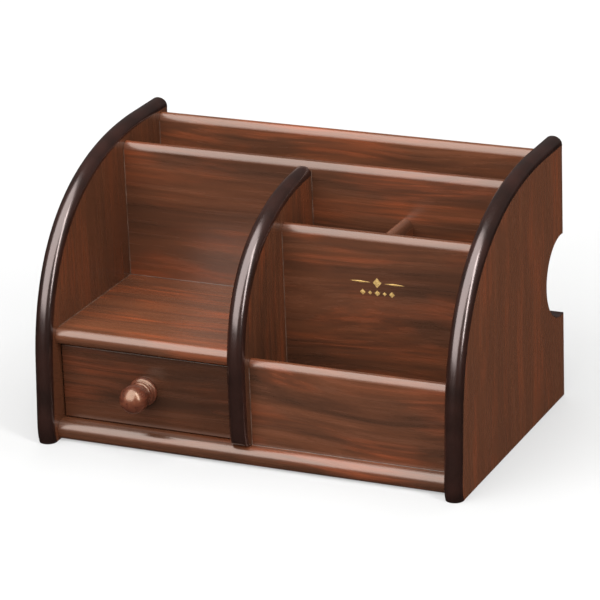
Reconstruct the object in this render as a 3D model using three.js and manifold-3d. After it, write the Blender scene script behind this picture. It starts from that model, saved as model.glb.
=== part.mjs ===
// Wooden desktop organiser. Two arched end panels carry a base board, a shelf over a small drawer on the left,
// open pockets on the right and a letter slot along the back. The drawer slides out to the front.
//
// Units are millimetres: +X to the right, +Y to the back, +Z up. Positions below are measured from the centre
// line, from the foremost edge of the end panels and from the floor. At the end the group is moved back and
// forth so that its origin is the middle of the bottom of its bounding box.
import * as THREE from "three";
import { mergeVertices } from "three/addons/utils/BufferGeometryUtils.js";
import Module from "manifold-3d";

const wasm = await Module();
wasm.setup();

// ---- Driving dimensions -------------------------------------------------------------------------------------

const WIDTH = 320;
const DEPTH = 206;
const BUTT_GAP = 0.1; // glue line where one board butts against another
const OVERRUN = 12; // how far a board blank runs past the faces that it is trimmed to

// An arched panel: its front rises from a slightly tucked-in foot, leans back a little, then sweeps over to a
// level crest. edgeRadius is the half-round of its front and top edge, and the curve below is the line where
// the flat face ends and that half-round begins. toe is how far its foot is cut back under the half-round.
const END = {
  thickness: 13,
  edgeRadius: 6.2,
  front: 0,
  bottom: 0,
  back: DEPTH,
  height: 194.5,
  tuck: 2,
  tuckRise: 12,
  lean: 3.5,
  kneeHeight: 59,
  risePull: 81,
  crestY: 171,
  crestPull: 101,
  tipRadius: 6,
  toe: 0,
  toeRise: 0,
};

const BASE = { front: 10, bottom: 0, thickness: 14, back: 201 };
const SHELF = { front: 15, top: 82, thickness: 12 };
const PARTITION = { front: 133.5, thickness: 9, top: 182.5 };
const REAR = { front: 192, thickness: 9, top: 186.5 };
const MID = { front: 80.5, thickness: 9, top: 154 };
const LIP = { front: 18.5, thickness: 9, top: 76.5 };
const PEN = { middle: 70.5, thickness: 11, top: 148 };

const DIVIDER = {
  thickness: END.thickness,
  edgeRadius: END.edgeRadius,
  front: 5.8,
  bottom: BASE.thickness,
  back: PARTITION.front,
  height: 179,
  tuck: 3,
  tuckRise: 19,
  lean: 0,
  kneeHeight: 62,
  risePull: 98.5,
  crestY: 140,
  crestPull: 43.5,
  tipRadius: 0,
  toe: 10.7,
  toeRise: 9,
};

// Half-round hand hole cut into the back edge of each end panel.
const NOTCH = { radius: 30, y: 202, z: 93, sides: 48 };

const DRAWER = {
  sideGap: 1,
  topGap: 1.2,
  bottomGap: 1,
  front: 21.5,
  frontThickness: 10,
  rabbet: 4,
  wall: 6,
  wallGap: 1.2,
  wallHeight: 46,
  runningGap: 0.3,
  backFace: 131,
  panelThickness: 3,
  panelRise: 3.6,
  grooveDepth: 3,
  grooveSlack: 0.1,
};

// Turned knob, as distances ahead of the drawer front and radii. It sits a little left of the middle.
const KNOB = {
  leftOfMiddle: 2.8,
  flangeRadius: 10.3,
  flangeLength: 3.4,
  ringRadius: 9.3,
  neckRadius: 6.9,
  neckAt: 8.4,
  ballRadius: 10.1,
  ballAt: 16,
  boreRadius: 1.9,
  boreDepth: 13,
};

const DOWEL = { sides: 10, slack: 0.15, endGap: 0.5, chamfer: 0.6 };
const BOARD_DOWEL = 3; // radius, in boards of 12 mm and more
const PANEL_DOWEL = 2.5; // radius, in boards of 9 mm
const DEEP = 15; // hole depth into the end grain of a board
const END_HOLE = 8.5; // hole depth into an end panel
const DIVIDER_HOLE = 5.5; // hole depth into a face of the divider

const SCREW = {
  sides: 12,
  length: 30,
  radius: 1.75,
  headRadius: 3.6,
  headHeight: 2.6,
  sink: 0.8,
  slack: 0.2,
  tip: 4,
};
const KNOB_SCREW = { sides: 16, radius: 1.7, headRadius: 3.7, headHeight: 2.3, intoKnob: 11.5, holeRadius: 2.1 };
const BRAD = { sides: 6, radius: 0.6, headRadius: 1.1, headHeight: 0.5, length: 18, slack: 0.15, tip: 1.5 };

const HALF_ROUND_STEPS = 8;
const KNOB_SIDES = 32;

const INNER = WIDTH / 2 - END.thickness; // distance of the end panels' inner faces from the centre line
const DIVIDER_LEFT = -DIVIDER.thickness;
const SHELF_BOTTOM = SHELF.top - SHELF.thickness;
const KNOB_REACH = KNOB.ballAt + KNOB.ballRadius;

// ---- Materials ----------------------------------------------------------------------------------------------

const finishes = {
  film: new THREE.MeshStandardMaterial({ color: 0x6a3c2c, roughness: 0.38, metalness: 0 }),
  drawerFilm: new THREE.MeshStandardMaterial({ color: 0x6a3c2c, roughness: 0.38, metalness: 0 }),
  plywood: new THREE.MeshStandardMaterial({ color: 0xb48a5e, roughness: 0.7, metalness: 0 }),
  turned: new THREE.MeshStandardMaterial({ color: 0x8f4526, roughness: 0.2, metalness: 0 }),
  beech: new THREE.MeshStandardMaterial({ color: 0xd0ab78, roughness: 0.7, metalness: 0 }),
  zinc: new THREE.MeshStandardMaterial({ color: 0xb9b4a2, roughness: 0.35, metalness: 1 }),
};

// ---- Solids -------------------------------------------------------------------------------------------------

function solidOf(geometry) {
  const bare = geometry.clone();
  bare.deleteAttribute("normal");
  bare.deleteAttribute("uv");
  const merged = mergeVertices(bare, 1e-4);
  return new wasm.Manifold(
    new wasm.Mesh({
      numProp: 3,
      vertProperties: merged.attributes.position.array,
      triVerts: new Uint32Array(merged.index.array),
    }),
  );
}

function geometryOf(solid) {
  const mesh = solid.getMesh();
  const geometry = new THREE.BufferGeometry();
  geometry.setAttribute("position", new THREE.BufferAttribute(mesh.vertProperties, 3));
  geometry.setIndex(new THREE.BufferAttribute(mesh.triVerts, 1));
  geometry.computeVertexNormals();
  return geometry;
}

// A mesh whose own origin is the middle of the solid.
function meshOf(name, solid, finish) {
  const geometry = geometryOf(solid);
  geometry.computeBoundingBox();
  const middle = geometry.boundingBox.getCenter(new THREE.Vector3());
  geometry.translate(-middle.x, -middle.y, -middle.z);
  const mesh = new THREE.Mesh(geometry, finish);
  mesh.name = name;
  mesh.position.copy(middle);
  return mesh;
}

function box(x0, x1, y0, y1, z0, z1) {
  const geometry = new THREE.BoxGeometry(x1 - x0, y1 - y0, z1 - z0);
  return geometry.translate((x0 + x1) / 2, (y0 + y1) / 2, (z0 + z1) / 2);
}

// A shape drawn in side view, with y to the right and z up, made into a board from x0 to x1.
const SIDE_VIEW = new THREE.Matrix4().makeBasis(
  new THREE.Vector3(0, 1, 0),
  new THREE.Vector3(0, 0, 1),
  new THREE.Vector3(1, 0, 0),
);

function sideViewBoard(shape, x0, x1) {
  const geometry = new THREE.ExtrudeGeometry(shape, {
    depth: x1 - x0,
    steps: 1,
    bevelEnabled: false,
    curveSegments: HALF_ROUND_STEPS / 2,
  });
  return geometry.translate(0, 0, x0).applyMatrix4(SIDE_VIEW);
}

// Cylinder of the given length centred on a point, along an axis.
const UP = new THREE.Vector3(0, 1, 0);

function rod(radius, length, sides, middle, axis) {
  const geometry = new THREE.CylinderGeometry(radius, radius, length, sides);
  geometry.applyQuaternion(new THREE.Quaternion().setFromUnitVectors(UP, axis));
  return geometry.translate(middle.x, middle.y, middle.z);
}

// ---- Fasteners ----------------------------------------------------------------------------------------------
// Each fastener is a mesh of its own, and leaves a cutting tool for every board that it goes through.

const carcass = new THREE.Group();
const drawer = new THREE.Group();
const tools = new Map();

function cutLater(board, geometry) {
  if (!tools.has(board)) tools.set(board, []);
  tools.get(board).push(geometry);
}

function addFastener(group, name, geometry, finish, point, axis) {
  const mesh = new THREE.Mesh(geometry, finish);
  mesh.name = name;
  mesh.position.copy(point);
  mesh.quaternion.setFromUnitVectors(UP, axis);
  group.add(mesh);
}

// Radii and heights, from the axis at the bottom to the axis at the top.
function turned(profile, sides) {
  const points = profile.map(([radius, height]) => new THREE.Vector2(radius, height));
  return new THREE.LatheGeometry(points, sides);
}

// A dowel across the joint at a point, going depthA into board a and depthB into board b along the axis.
function addDowel(name, a, b, point, axis, radius, depthA, depthB) {
  const middle = point.clone().addScaledVector(axis, (depthB - depthA) / 2);
  const length = depthA + depthB;
  const hole = rod(radius + DOWEL.slack, length, DOWEL.sides, middle, axis);
  cutLater(a, hole);
  cutLater(b, hole);
  const half = length / 2 - DOWEL.endGap;
  const narrow = radius - DOWEL.chamfer;
  const profile = [
    [0, -half],
    [narrow, -half],
    [radius, -half + DOWEL.chamfer],
    [radius, half - DOWEL.chamfer],
    [narrow, half],
    [0, half],
  ];
  addFastener(carcass, name, turned(profile, DOWEL.sides), finishes.beech, middle, axis);
}

const TO_RIGHT = new THREE.Vector3(1, 0, 0);
const TO_LEFT = new THREE.Vector3(-1, 0, 0);
const TO_BACK = new THREE.Vector3(0, 1, 0);

function middleOf(board) {
  return board.front + board.thickness / 2;
}

const baseZ = BASE.thickness / 2;
const shelfZ = SHELF.top - SHELF.thickness / 2;

// Places (y, z) of the dowels at the ends of each board.
const boardEnds = {
  base_board: { radius: BOARD_DOWEL, places: [[45, baseZ], [165, baseZ]] },
  drawer_shelf: { radius: BOARD_DOWEL, places: [[45, shelfZ], [110, shelfZ]] },
  partition_panel: { radius: PANEL_DOWEL, places: [[middleOf(PARTITION), 45], [middleOf(PARTITION), 155]] },
  rear_panel: { radius: PANEL_DOWEL, places: [[middleOf(REAR), 35], [middleOf(REAR), 160]] },
  mid_panel: { radius: PANEL_DOWEL, places: [[middleOf(MID), 45], [middleOf(MID), 125]] },
  front_lip_panel: { radius: PANEL_DOWEL, places: [[middleOf(LIP), 45]] },
};

function addEndDowels(side, panel, x, axis, panelDepth, boards) {
  for (const board of boards) {
    const { radius, places } = boardEnds[board];
    places.forEach(([y, z], index) => {
      const name = `dowel_${side}_${board.replace(/_(board|panel)$/, "")}_${index + 1}`;
      addDowel(name, panel, board, new THREE.Vector3(x, y, z), axis, radius, panelDepth, DEEP);
    });
  }
}

addEndDowels("left", "left_end_panel", -INNER, TO_RIGHT, END_HOLE, [
  "base_board",
  "drawer_shelf",
  "partition_panel",
  "rear_panel",
]);
addEndDowels("right", "right_end_panel", INNER, TO_LEFT, END_HOLE, [
  "base_board",
  "partition_panel",
  "rear_panel",
  "mid_panel",
  "front_lip_panel",
]);
addEndDowels("divider_left", "centre_divider", DIVIDER_LEFT, TO_LEFT, DIVIDER_HOLE, ["drawer_shelf"]);
addEndDowels("divider_right", "centre_divider", 0, TO_RIGHT, DIVIDER_HOLE, ["mid_panel", "front_lip_panel"]);
for (const [index, z] of [60, 150].entries()) {
  const point = new THREE.Vector3(DIVIDER_LEFT / 2, PARTITION.front, z);
  const name = `dowel_divider_back_${index + 1}`;
  addDowel(name, "partition_panel", "centre_divider", point, TO_BACK.clone().negate(), PANEL_DOWEL, 6, DEEP);
}

// Countersunk wood screws, driven up through the base board into the boards that stand on it.
function crossRecess(width, length, depth, height) {
  const slotX = box(-length / 2, length / 2, -1, depth, -width / 2, width / 2);
  const slotZ = box(-width / 2, width / 2, -1, depth, -length / 2, length / 2);
  const cross = solidOf(slotX).add(solidOf(slotZ));
  return cross.translate([0, height, 0]);
}

const shankStart = SCREW.headHeight;
const woodScrew = geometryOf(
  solidOf(
    turned(
      [
        [0, 0],
        [SCREW.headRadius, 0],
        [SCREW.headRadius, 0.4],
        [SCREW.radius, shankStart],
        [SCREW.radius, SCREW.length - SCREW.tip],
        [0, SCREW.length],
      ],
      SCREW.sides,
    ),
  ).subtract(crossRecess(0.8, 3.6, 1.6, 0)),
);

function screwHole(x, y) {
  const headRadius = SCREW.headRadius + SCREW.slack;
  const radius = SCREW.radius + SCREW.slack;
  const hole = turned(
    [
      [0, -1],
      [headRadius, -1],
      [headRadius, SCREW.sink + 0.4],
      [radius, SCREW.sink + shankStart],
      [radius, SCREW.sink + SCREW.length + 1],
      [0, SCREW.sink + SCREW.length + 1],
    ],
    SCREW.sides,
  );
  return hole.rotateX(Math.PI / 2).translate(x, y, 0);
}

const Z_UP = new THREE.Vector3(0, 0, 1);
const baseScrews = {
  centre_divider: [[DIVIDER_LEFT / 2, 40], [DIVIDER_LEFT / 2, 118]],
  front_lip_panel: [[40, middleOf(LIP)], [110, middleOf(LIP)]],
  mid_panel: [[30, middleOf(MID)]],
  pen_divider: [[PEN.middle, 111]],
  partition_panel: [[-90, middleOf(PARTITION)], [100, middleOf(PARTITION)]],
  rear_panel: [[-90, middleOf(REAR)], [90, middleOf(REAR)]],
};
for (const [board, places] of Object.entries(baseScrews)) {
  places.forEach(([x, y], index) => {
    const hole = screwHole(x, y);
    cutLater("base_board", hole);
    cutLater(board, hole);
    const name = `screw_base_to_${board.replace(/_(board|panel)$/, "")}_${index + 1}`;
    addFastener(carcass, name, woodScrew, finishes.zinc, new THREE.Vector3(x, y, SCREW.sink), Z_UP);
  });
}

// ---- Carcass boards -----------------------------------------------------------------------------------------

function finishBoard(group, name, geometry, finish) {
  let solid = geometry instanceof THREE.BufferGeometry ? solidOf(geometry) : geometry;
  for (const tool of tools.get(name) ?? []) solid = solid.subtract(solidOf(tool));
  group.add(meshOf(name, solid, finish));
}

// Flat board with a half-round front edge, seen from the side.
function nosedShelf({ front, bottom, top, back }) {
  const radius = (top - bottom) / 2;
  const shape = new THREE.Shape();
  shape.moveTo(back, bottom);
  shape.lineTo(back, top);
  shape.lineTo(front + radius, top);
  shape.absarc(front + radius, bottom + radius, radius, Math.PI / 2, (Math.PI * 3) / 2, false);
  return shape;
}

// Upright board with a half-round top edge, seen from the side.
function crestedPanel({ front, thickness, bottom, top }) {
  const radius = thickness / 2;
  const shape = new THREE.Shape();
  shape.moveTo(front, bottom);
  shape.lineTo(front + thickness, bottom);
  shape.lineTo(front + thickness, top - radius);
  shape.absarc(front + radius, top - radius, radius, 0, Math.PI, false);
  return shape;
}

function archedPanel(panel, x0) {
  const { thickness, edgeRadius, front, bottom, back, height } = panel;
  const faceFront = front + edgeRadius;
  const crestZ = height - edgeRadius;
  const knee = new THREE.Vector2(faceFront + panel.lean, panel.kneeHeight);
  const belly = new THREE.Vector2(faceFront, bottom + panel.tuckRise);
  const foot = new THREE.Vector2(faceFront + panel.tuck, bottom);
  const crest = new THREE.Vector2(panel.crestY, crestZ);
  const tuckCurve = new THREE.QuadraticBezierCurve(foot, new THREE.Vector2(faceFront, bottom + 4), belly);
  const slope = panel.lean / (panel.kneeHeight - belly.y);
  const sweep = new THREE.CubicBezierCurve(
    knee,
    new THREE.Vector2(knee.x + slope * panel.risePull, knee.y + panel.risePull),
    new THREE.Vector2(crest.x - panel.crestPull, crestZ),
    crest,
  );
  const outline = [
    new THREE.Vector2(foot.x, bottom - OVERRUN),
    ...tuckCurve.getPoints(3),
    ...sweep.getPoints(18),
    new THREE.Vector2(back + OVERRUN, crestZ),
    new THREE.Vector2(back + OVERRUN, bottom - OVERRUN),
  ];
  const blank = new THREE.ExtrudeGeometry(new THREE.Shape(outline), {
    depth: thickness - 2 * edgeRadius,
    steps: 1,
    bevelThickness: edgeRadius,
    bevelSize: edgeRadius,
    bevelSegments: HALF_ROUND_STEPS / 2,
  });
  blank.translate(0, 0, x0 + edgeRadius).applyMatrix4(SIDE_VIEW);

  const trim = new THREE.Shape();
  trim.moveTo(back, bottom);
  trim.lineTo(back, height - panel.tipRadius);
  if (panel.tipRadius > 0) {
    trim.absarc(back - panel.tipRadius, height - panel.tipRadius, panel.tipRadius, 0, Math.PI / 2, false);
  }
  trim.lineTo(front - OVERRUN, height);
  trim.lineTo(front - OVERRUN, bottom + panel.toeRise);
  if (panel.toe > 0) {
    trim.lineTo(front, bottom + panel.toeRise);
    trim.quadraticCurveTo(front + panel.toe * 0.2, bottom + panel.toeRise * 0.15, front + panel.toe, bottom);
  }
  const keep = sideViewBoard(trim, x0 - 1, x0 + thickness + 1);
  return solidOf(blank).intersect(solidOf(keep));
}

for (const [name, x0] of [["left_end_panel", -WIDTH / 2], ["right_end_panel", INNER]]) {
  const middle = new THREE.Vector3(x0 + END.thickness / 2, NOTCH.y, NOTCH.z);
  const notch = rod(NOTCH.radius, END.thickness + 2, NOTCH.sides, middle, TO_RIGHT);
  finishBoard(carcass, name, archedPanel(END, x0).subtract(solidOf(notch)), finishes.film);
}

const spanLeft = -INNER + BUTT_GAP;
const spanRight = INNER - BUTT_GAP;
const floorZ = BASE.thickness + BUTT_GAP; // where the boards on the base stand

finishBoard(
  carcass,
  "base_board",
  sideViewBoard(nosedShelf({ ...BASE, top: BASE.thickness }), spanLeft, spanRight),
  finishes.film,
);
finishBoard(
  carcass,
  "drawer_shelf",
  sideViewBoard(
    nosedShelf({ ...SHELF, bottom: SHELF_BOTTOM, back: PARTITION.front - BUTT_GAP }),
    spanLeft,
    DIVIDER_LEFT - BUTT_GAP,
  ),
  finishes.film,
);
finishBoard(
  carcass,
  "centre_divider",
  archedPanel({ ...DIVIDER, bottom: floorZ, back: PARTITION.front - BUTT_GAP }, DIVIDER_LEFT),
  finishes.film,
);
for (const [name, panel, x0] of [
  ["partition_panel", PARTITION, spanLeft],
  ["rear_panel", REAR, spanLeft],
  ["mid_panel", MID, BUTT_GAP],
  ["front_lip_panel", LIP, BUTT_GAP],
]) {
  const shape = crestedPanel({ ...panel, bottom: floorZ });
  finishBoard(carcass, name, sideViewBoard(shape, x0, spanRight), finishes.film);
}

// The pen divider runs front to back, so its section is drawn across x and turned to face the front.
const penShape = crestedPanel({ ...PEN, front: -PEN.thickness / 2, bottom: floorZ });
const penFront = MID.front + MID.thickness + BUTT_GAP;
const penBack = PARTITION.front - BUTT_GAP;
const penGeometry = new THREE.ExtrudeGeometry(penShape, {
  depth: penBack - penFront,
  steps: 1,
  bevelEnabled: false,
  curveSegments: HALF_ROUND_STEPS / 2,
});
penGeometry.rotateX(Math.PI / 2).translate(PEN.middle, penBack, 0);
finishBoard(carcass, "pen_divider", penGeometry, finishes.film);

// ---- Drawer -------------------------------------------------------------------------------------------------

const bay = { left: -INNER, right: DIVIDER_LEFT, bottom: BASE.thickness, top: SHELF_BOTTOM };
const frontLeft = bay.left + DRAWER.sideGap;
const frontRight = bay.right - DRAWER.sideGap;
const frontBottom = bay.bottom + DRAWER.bottomGap;
const frontTop = bay.top - DRAWER.topGap;
const frontBack = DRAWER.front + DRAWER.frontThickness;
const wallLeft = bay.left + DRAWER.wallGap;
const wallRight = bay.right - DRAWER.wallGap;
const wallBottom = bay.bottom + DRAWER.runningGap;
const wallTop = wallBottom + DRAWER.wallHeight;
const wallFront = frontBack - DRAWER.rabbet + BUTT_GAP;
const insideLeft = wallLeft + DRAWER.wall;
const insideRight = wallRight - DRAWER.wall;
const panelBottom = wallBottom + DRAWER.panelRise;
const panelTop = panelBottom + DRAWER.panelThickness;
const grooveLeft = insideLeft - DRAWER.grooveDepth;
const grooveRight = insideRight + DRAWER.grooveDepth;
const grooveFront = frontBack - DRAWER.grooveDepth;
const knobX = (frontLeft + frontRight) / 2 - KNOB.leftOfMiddle;
const knobZ = (frontBottom + frontTop) / 2;

// One groove runs round the sides and the front for the bottom panel's edges.
const slack = DRAWER.grooveSlack;
const groove = box(
  grooveLeft - slack,
  grooveRight + slack,
  grooveFront - slack,
  DRAWER.backFace + 1,
  panelBottom - slack,
  panelTop + slack,
);
for (const board of ["drawer_front", "drawer_left_side", "drawer_right_side"]) cutLater(board, groove);

const bradShape = turned(
  [
    [0, 0],
    [BRAD.headRadius, 0],
    [BRAD.headRadius, BRAD.headHeight],
    [BRAD.radius, BRAD.headHeight],
    [BRAD.radius, BRAD.length - BRAD.tip],
    [0, BRAD.length],
  ],
  BRAD.sides,
);

function addBrad(name, boards, point, axis) {
  const head = BRAD.headHeight + BRAD.slack;
  const hole = turned(
    [
      [0, -1],
      [BRAD.headRadius + BRAD.slack, -1],
      [BRAD.headRadius + BRAD.slack, head],
      [BRAD.radius + BRAD.slack, head],
      [BRAD.radius + BRAD.slack, BRAD.length + BRAD.slack],
      [0, BRAD.length + BRAD.slack],
    ],
    BRAD.sides,
  );
  hole.applyQuaternion(new THREE.Quaternion().setFromUnitVectors(UP, axis));
  hole.translate(point.x, point.y, point.z);
  for (const board of boards) cutLater(board, hole);
  addFastener(drawer, name, bradShape, finishes.zinc, point, axis);
}

const backFront = DRAWER.backFace - DRAWER.wall;
for (const [side, x, axis] of [["left", wallLeft, TO_RIGHT], ["right", wallRight, TO_LEFT]]) {
  for (const [end, y, board] of [
    ["front", frontBack - DRAWER.rabbet / 2, "drawer_front"],
    ["back", DRAWER.backFace - DRAWER.wall / 2, "drawer_back"],
  ]) {
    [29, 50].forEach((z, index) => {
      const point = new THREE.Vector3(x, y, z).addScaledVector(axis, 0.2);
      addBrad(`brad_${side}_${end}_${index + 1}`, [`drawer_${side}_side`, board], point, axis);
    });
  }
}

const knobHole = rod(
  KNOB_SCREW.holeRadius,
  DRAWER.frontThickness + 2,
  KNOB_SCREW.sides,
  new THREE.Vector3(knobX, DRAWER.front + DRAWER.frontThickness / 2, knobZ),
  TO_BACK,
);
cutLater("drawer_front", knobHole);

const rabbets = solidOf(box(frontLeft - 1, insideLeft + BUTT_GAP, wallFront - BUTT_GAP, frontBack + 1, 0, bay.top)).add(
  solidOf(box(insideRight - BUTT_GAP, frontRight + 1, wallFront - BUTT_GAP, frontBack + 1, 0, bay.top)),
);
const frontBlank = solidOf(box(frontLeft, frontRight, DRAWER.front, frontBack, frontBottom, frontTop));
finishBoard(drawer, "drawer_front", frontBlank.subtract(rabbets), finishes.drawerFilm);
for (const [name, x0] of [["drawer_left_side", wallLeft], ["drawer_right_side", insideRight]]) {
  const wall = box(x0, x0 + DRAWER.wall, wallFront, DRAWER.backFace, wallBottom, wallTop);
  finishBoard(drawer, name, wall, finishes.plywood);
}
finishBoard(
  drawer,
  "drawer_back",
  box(insideLeft + BUTT_GAP, insideRight - BUTT_GAP, backFront, DRAWER.backFace, panelTop + BUTT_GAP, wallTop - 2),
  finishes.plywood,
);
finishBoard(
  drawer,
  "drawer_bottom",
  box(grooveLeft, grooveRight, grooveFront, DRAWER.backFace, panelBottom, panelTop),
  finishes.plywood,
);

// Knob: a flange against the drawer front, a thin ring, a neck and a ball, bored from the back for its screw.
function ballPoint(angle) {
  return [KNOB.ballRadius * Math.sin(angle), KNOB.ballAt - KNOB.ballRadius * Math.cos(angle)];
}

const ballStart = Math.asin((KNOB.neckRadius + 0.3) / KNOB.ballRadius);
const ballSteps = 9;
const ringStart = KNOB.flangeLength + 0.7;
const knobProfile = [
  [0, KNOB.boreDepth],
  [KNOB.boreRadius, KNOB.boreDepth],
  [KNOB.boreRadius, 0],
  [KNOB.flangeRadius - 0.6, 0],
  [KNOB.flangeRadius, 0.8],
  [KNOB.flangeRadius, KNOB.flangeLength - 1.4],
  [KNOB.flangeRadius - 0.6, KNOB.flangeLength - 0.3],
  [KNOB.ringRadius - 0.8, KNOB.flangeLength + 0.2],
  [KNOB.ringRadius, ringStart],
  [KNOB.ringRadius, ringStart + 0.8],
  [KNOB.ringRadius - 1.3, ringStart + 1.6],
  [KNOB.neckRadius, KNOB.neckAt - 1],
  [KNOB.neckRadius, KNOB.neckAt],
];
for (let step = 0; step < ballSteps; step += 1) {
  knobProfile.push(ballPoint(ballStart + ((Math.PI - ballStart) * step) / ballSteps));
}
knobProfile.push([0, KNOB_REACH]);
const toFront = TO_BACK.clone().negate();
const knobSeat = new THREE.Vector3(knobX, DRAWER.front - BUTT_GAP, knobZ);
addFastener(drawer, "drawer_knob", turned(knobProfile, KNOB_SIDES), finishes.turned, knobSeat, toFront);

// Its screw comes from inside the drawer, with a domed head.
const shankEnd = DRAWER.frontThickness + KNOB_SCREW.intoKnob;
const knobScrewProfile = [
  [0, -KNOB_SCREW.headHeight],
  [KNOB_SCREW.headRadius * 0.6, -KNOB_SCREW.headHeight],
  [KNOB_SCREW.headRadius * 0.92, -KNOB_SCREW.headHeight * 0.6],
  [KNOB_SCREW.headRadius, 0],
  [KNOB_SCREW.radius, 0],
  [KNOB_SCREW.radius, shankEnd - 1.5],
  [0, shankEnd],
];
const knobScrew = solidOf(turned(knobScrewProfile, KNOB_SCREW.sides)).subtract(
  crossRecess(0.9, 3.6, 1.5, -KNOB_SCREW.headHeight),
);
const screwSeat = new THREE.Vector3(knobX, frontBack + BUTT_GAP, knobZ);
addFastener(drawer, "knob_screw", geometryOf(knobScrew), finishes.zinc, screwSeat, toFront);

// ---- Assembly -----------------------------------------------------------------------------------------------

const organiser = new THREE.Group();
organiser.add(carcass, drawer);
const foremost = DRAWER.front - BUTT_GAP - KNOB_REACH;
organiser.position.set(0, -(foremost + DEPTH) / 2, 0);

export default organiser;
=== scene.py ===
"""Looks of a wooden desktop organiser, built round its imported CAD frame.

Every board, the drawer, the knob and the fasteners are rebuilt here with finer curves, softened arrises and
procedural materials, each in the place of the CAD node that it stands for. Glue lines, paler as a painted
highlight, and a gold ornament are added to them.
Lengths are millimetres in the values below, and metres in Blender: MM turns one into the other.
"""
import math

import bmesh
import bpy
import numpy as np
from mathutils import Matrix, Vector


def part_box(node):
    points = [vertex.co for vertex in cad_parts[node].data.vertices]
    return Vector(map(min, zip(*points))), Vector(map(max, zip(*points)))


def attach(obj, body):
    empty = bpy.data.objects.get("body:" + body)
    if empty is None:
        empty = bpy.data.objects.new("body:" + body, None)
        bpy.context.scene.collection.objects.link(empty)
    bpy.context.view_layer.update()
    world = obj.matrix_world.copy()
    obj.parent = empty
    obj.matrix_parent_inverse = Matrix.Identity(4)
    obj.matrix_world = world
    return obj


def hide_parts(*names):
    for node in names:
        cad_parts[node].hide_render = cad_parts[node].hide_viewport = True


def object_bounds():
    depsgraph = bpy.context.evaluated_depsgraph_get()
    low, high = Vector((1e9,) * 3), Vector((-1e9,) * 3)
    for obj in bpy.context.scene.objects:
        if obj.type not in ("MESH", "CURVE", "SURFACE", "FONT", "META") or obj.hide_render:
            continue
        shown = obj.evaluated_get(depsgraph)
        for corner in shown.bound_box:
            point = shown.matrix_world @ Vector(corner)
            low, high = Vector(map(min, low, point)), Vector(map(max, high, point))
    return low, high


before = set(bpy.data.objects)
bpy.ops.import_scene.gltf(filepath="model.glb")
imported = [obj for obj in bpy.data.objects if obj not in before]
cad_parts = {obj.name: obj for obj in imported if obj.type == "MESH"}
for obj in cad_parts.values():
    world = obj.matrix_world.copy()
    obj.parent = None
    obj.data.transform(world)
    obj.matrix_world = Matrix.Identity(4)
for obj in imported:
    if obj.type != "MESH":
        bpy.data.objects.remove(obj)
cad_low, cad_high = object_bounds()

MM = 0.001

# ---- Driving dimensions, as in the CAD source ------------

# An arched panel: its front rises from a slightly tucked-in foot, leans back a little, then sweeps over to a
# level crest. Its face edge is the line where the flat face ends and the half-round edge begins.
END = {
    "edge_radius": 6.2,
    "front": 0.0,
    "bottom": 0.0,
    "back": 206.0,
    "height": 194.5,
    "tuck": 2.0,
    "tuck_rise": 12.0,
    "lean": 3.5,
    "knee_height": 59.0,
    "rise_pull": 81.0,
    "crest_y": 171.0,
    "crest_pull": 101.0,
    "tip_radius": 6.0,
    "toe": 0.0,
    "toe_rise": 0.0,
    "notch": (30.0, 202.0, 93.0),  # radius, y and z of the hand hole in the back edge
}
DIVIDER = {
    "edge_radius": 6.2,
    "front": 5.8,
    "bottom": 14.1,
    "back": 133.4,
    "height": 179.0,
    "tuck": 3.0,
    "tuck_rise": 19.0,
    "lean": 0.0,
    "knee_height": 62.0,
    "rise_pull": 98.5,
    "crest_y": 140.0,
    "crest_pull": 43.5,
    "tip_radius": 0.0,
    "toe": 10.7,
    "toe_rise": 9.0,
    "notch": None,
}
KNOB = {
    "flange_radius": 10.3,
    "flange_length": 3.4,
    "ring_radius": 9.3,
    "neck_radius": 6.9,
    "neck_at": 8.4,
    "ball_radius": 10.1,
    "ball_at": 16.0,
    "bore_radius": 1.9,
    "bore_depth": 13.0,
    "base_round": 0.6,
    "rim_round": 1.4,
    "bead_round": 0.65,
    "bead_gap": 1.1,  # from the flange to the middle of the bead
}
WOOD_SCREW = {
    "radius": 1.75,
    "head_radius": 3.6,
    "head_height": 2.6,
    "rim": 0.4,  # height of the head's straight edge
    "plain": 3.0,  # length under the head that has no thread
    "tip": 4.0,
    "pitch": 1.6,
    "thread": 0.45,
}
KNOB_SCREW = {"radius": 1.7, "head_radius": 3.7, "head_height": 2.3}
BRAD = {"radius": 0.6, "head_radius": 1.1, "head_height": 0.5, "tip": 1.5}
BUTT_GAP = 0.1  # glue line where one board butts against another
HOLE_SLACK = 0.15

ARRIS = 0.5  # softened edge of a sawn board
NOSE_STEPS = 13  # facets in each quarter of an arched panel's half-round edge
ROWS = 110  # rows of facets along an arched edge
ROUND_STEPS = 28  # facets round a shelf nose or a panel crest
SIDES = {"knob": 96, "knob_screw": 48, "wood_screw": 32, "brad": 24, "dowel": 48}
HOLE_SIDES = {"rod": 32, "screw": 40}

# Angles between facets, in degrees, above which an edge is bevelled or its shading stays crisp.
BEVEL_ANGLE = 40
PIECE_SHARP = 32
BOARD_SHARP = 16
SEAM_SHARP = 40

# From the distances above, which are behind the end panels' foremost edge, to the frame's y.
BACK_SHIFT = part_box("left_end_panel")[1].y / MM - END["back"]


# ---- Mesh building ---------------------------------------


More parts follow.
